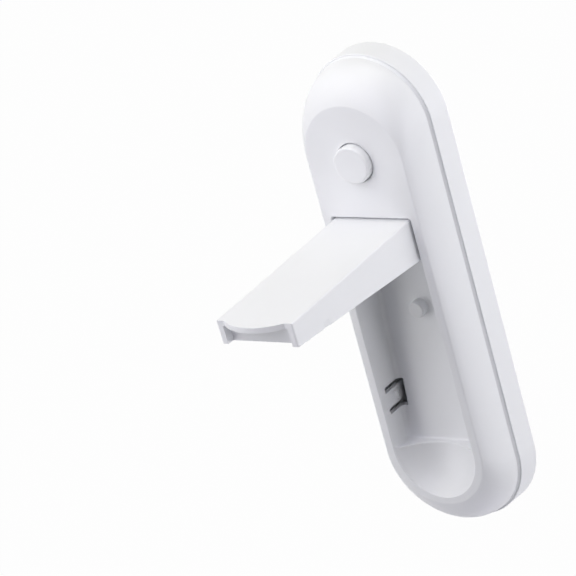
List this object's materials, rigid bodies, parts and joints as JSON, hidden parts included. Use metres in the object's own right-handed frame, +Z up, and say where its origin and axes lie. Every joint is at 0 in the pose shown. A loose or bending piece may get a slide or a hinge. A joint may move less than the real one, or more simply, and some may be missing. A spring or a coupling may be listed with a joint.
{
  "type": "door lever lock",
  "caption": "Long round-ended body stuck to a door, with a folding arm that stands under the lever handle, a round release button and a finger dish.",
  "frame": {"origin": "centre of the adhesive pad's outer face, which lies on the door", "axes": "+X to the right, +Y into the door, +Z up along the body's length; the arm swings out along -Y"},
  "size_m": [0.0424, 0.0856, 0.15],
  "materials": {
    "housing_plastic": "fine satin",
    "arm_plastic": "fine satin",
    "button_plastic": "fine satin",
    "bumper_elastomer": "matte",
    "foam_tape": "matte foam",
    "spring_wire": "drawn wire",
    "leaf_steel": "rolled strip",
    "pin_steel": "ground",
    "screw_steel": "zinc plated"
  },
  "bodies": {
    "housing": {"front_housing": "housing_plastic", "back_shell": "housing_plastic", "arm_return_spring": "spring_wire", "pivot_pin": "pin_steel", "button_spring": "spring_wire", "latch_leaf": "leaf_steel", "leaf_screws": "screw_steel", "arm_bumper": "bumper_elastomer", "housing_screws": "screw_steel", "adhesive_pad": "foam_tape"},
    "arm": {"swing_arm": "arm_plastic"},
    "button": {"release_button": "button_plastic"}
  },
  "joints": [
    {"name": "arm_fold", "type": "hinge", "parent": "housing", "child": "arm", "pos_m": [0, -0.0139, 0.0211], "axis": [1, 0, 0], "range_deg": [0, 88.16], "stiffness_Nm_per_rad": 0.008, "springref_deg": -68.75, "deforming": ["arm_return_spring", "latch_leaf"]},
    {"name": "button_press", "type": "slide", "parent": "housing", "child": "button", "axis": [0, 1, 0], "range_m": [0, 0.0023], "stiffness_N_per_m": 800, "springref_m": -0.002, "deforming": ["button_spring", "latch_leaf"]}
  ]
}
